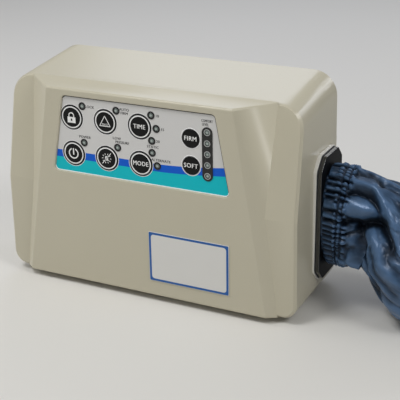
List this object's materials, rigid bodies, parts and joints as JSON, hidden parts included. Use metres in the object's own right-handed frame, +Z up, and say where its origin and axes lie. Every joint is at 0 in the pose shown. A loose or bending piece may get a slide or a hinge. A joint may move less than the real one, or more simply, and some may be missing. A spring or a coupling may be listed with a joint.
{
  "type": "air mattress pump",
  "caption": "Bedside air mattress pump: beige case with raised front, ringed keypad, level bar, folding hooks and a gathered navy hose sleeve.",
  "frame": {"origin": "under the middle of the pump without its hose, on the surface that it stands on", "axes": "+X to the pump's right side, where the hose leaves; +Y to the back; +Z up"},
  "size_m": [0.6306, 0.6009, 0.2186],
  "materials": {
    "shell": "fine-textured warm grey-beige ABS",
    "overlay_film": "screen-printed polyester film, satin",
    "key_cap": "black with a white ring and a white pictogram, satin",
    "bezel": "black, glossy",
    "lamp_lens": "smoked clear plastic, unlit",
    "plate_film": "blank pale label film with a blue border",
    "circuit_board": "green glass-fibre board",
    "electronics": "black moulded components",
    "flat_cable": "grey flat cable",
    "surround": "smooth beige plastic",
    "black_plastic": "black moulded plastic",
    "connector": "black glossy plastic",
    "sleeve_cloth": "navy coated nylon, soft sheen",
    "hook_metal": "light grey powder coat",
    "steel": "zinc-plated steel",
    "foot_rubber": "dark grey rubber",
    "filter_grille": "beige ABS",
    "foam": "dark open-cell foam",
    "pin_brass": "nickel-tinted brass",
    "frame_metal": "pressed sheet",
    "core_steel": "laminated core steel",
    "copper_winding": "enamelled copper wire",
    "head_plastic": "grey glass-filled plastic",
    "soft_tube": "milky silicone"
  },
  "bodies": {
    "housing": {"front_case": "shell", "rear_case": "shell", "keypad_overlay": "overlay_film", "lamp_bezels": "bezel", "lamp_lenses": "lamp_lens", "level_bar": "bezel", "level_lamps": "lamp_lens", "name_plate": "plate_film", "control_board": "circuit_board", "key_switches": "electronics", "ribbon_cable": "flat_cable", "outlet_surround": "surround", "outlet_manifold": "black_plastic", "hose_connector": "connector", "sleeve_cuff": "sleeve_cloth", "hose_sleeve": "sleeve_cloth", "mattress_connector": "connector", "left_hook_pin": "steel", "right_hook_pin": "steel", "front_left_foot": "foot_rubber", "front_right_foot": "foot_rubber", "rear_left_foot": "foot_rubber", "rear_right_foot": "foot_rubber", "filter_foam": "foam", "power_inlet": "black_plastic", "inlet_pins": "pin_brass", "compressor_mounts": "foot_rubber", "compressor_frame": "frame_metal", "drive_cores": "core_steel", "drive_coils": "copper_winding", "left_diaphragm": "foot_rubber", "right_diaphragm": "foot_rubber", "left_pump_head": "head_plastic", "right_pump_head": "head_plastic", "head_tubes": "soft_tube", "silencer": "black_plastic", "feed_tube": "soft_tube", "valve_bracket": "frame_metal", "valve_motor": "steel", "valve_body": "black_plastic", "outlet_tubes": "soft_tube", "transformer_core": "core_steel", "transformer_winding": "copper_winding", "main_board": "circuit_board", "board_parts": "electronics", "case_screws": "steel", "board_screws": "steel"},
    "key_lock_body": {"key_lock": "key_cap"},
    "key_firm_hold_body": {"key_firm_hold": "key_cap"},
    "key_timer_body": {"key_timer": "key_cap"},
    "key_power_body": {"key_power": "key_cap"},
    "key_mute_body": {"key_mute": "key_cap"},
    "key_mode_body": {"key_mode": "key_cap"},
    "key_firmer_body": {"key_firmer": "key_cap"},
    "key_softer_body": {"key_softer": "key_cap"},
    "left_hook_body": {"left_hook": "hook_metal"},
    "right_hook_body": {"right_hook": "hook_metal"},
    "filter_cover_body": {"filter_cover": "filter_grille"},
    "shuttle_body": {"magnet_shuttle": "steel"},
    "valve_rotor_body": {"valve_rotor": "head_plastic"}
  },
  "joints": [
    {"name": "key_lock_press", "type": "slide", "parent": "housing", "child": "key_lock_body", "axis": [0, 1, 0], "range_m": [0, 0.0008], "stiffness_N_per_m": 800, "springref_m": -0.0008},
    {"name": "key_firm_hold_press", "type": "slide", "parent": "housing", "child": "key_firm_hold_body", "axis": [0, 1, 0], "range_m": [0, 0.0008], "stiffness_N_per_m": 800, "springref_m": -0.0008},
    {"name": "key_timer_press", "type": "slide", "parent": "housing", "child": "key_timer_body", "axis": [0, 1, 0], "range_m": [0, 0.0008], "stiffness_N_per_m": 800, "springref_m": -0.0008},
    {"name": "key_power_press", "type": "slide", "parent": "housing", "child": "key_power_body", "axis": [0, 1, 0], "range_m": [0, 0.0008], "stiffness_N_per_m": 800, "springref_m": -0.0008},
    {"name": "key_mute_press", "type": "slide", "parent": "housing", "child": "key_mute_body", "axis": [0, 1, 0], "range_m": [0, 0.0008], "stiffness_N_per_m": 800, "springref_m": -0.0008},
    {"name": "key_mode_press", "type": "slide", "parent": "housing", "child": "key_mode_body", "axis": [0, 1, 0], "range_m": [0, 0.0008], "stiffness_N_per_m": 800, "springref_m": -0.0008},
    {"name": "key_firmer_press", "type": "slide", "parent": "housing", "child": "key_firmer_body", "axis": [0, 1, 0], "range_m": [0, 0.0008], "stiffness_N_per_m": 800, "springref_m": -0.0008},
    {"name": "key_softer_press", "type": "slide", "parent": "housing", "child": "key_softer_body", "axis": [0, 1, 0], "range_m": [0, 0.0008], "stiffness_N_per_m": 800, "springref_m": -0.0008},
    {"name": "left_hook_fold", "type": "hinge", "parent": "housing", "child": "left_hook_body", "pos_m": [-0.11425, 0.04165, 0.1782], "axis": [0, 0, 1], "range_deg": [-90, 0]},
    {"name": "right_hook_fold", "type": "hinge", "parent": "housing", "child": "right_hook_body", "pos_m": [0.10175, 0.04165, 0.1782], "axis": [0, 0, 1], "range_deg": [0, 90]},
    {"name": "filter_cover_pull", "type": "slide", "parent": "housing", "child": "filter_cover_body", "axis": [0, 1, 0], "range_m": [0, 0.012]},
    {"name": "shuttle_stroke", "type": "slide", "parent": "housing", "child": "shuttle_body", "axis": [1, 0, 0], "range_m": [-0.0015, 0.0015], "stiffness_N_per_m": 3000},
    {"name": "valve_turn", "type": "hinge", "parent": "housing", "child": "valve_rotor_body", "pos_m": [0.05575, -0.01835, 0.088], "axis": [1, 0, 0], "continuous": true}
  ]
}
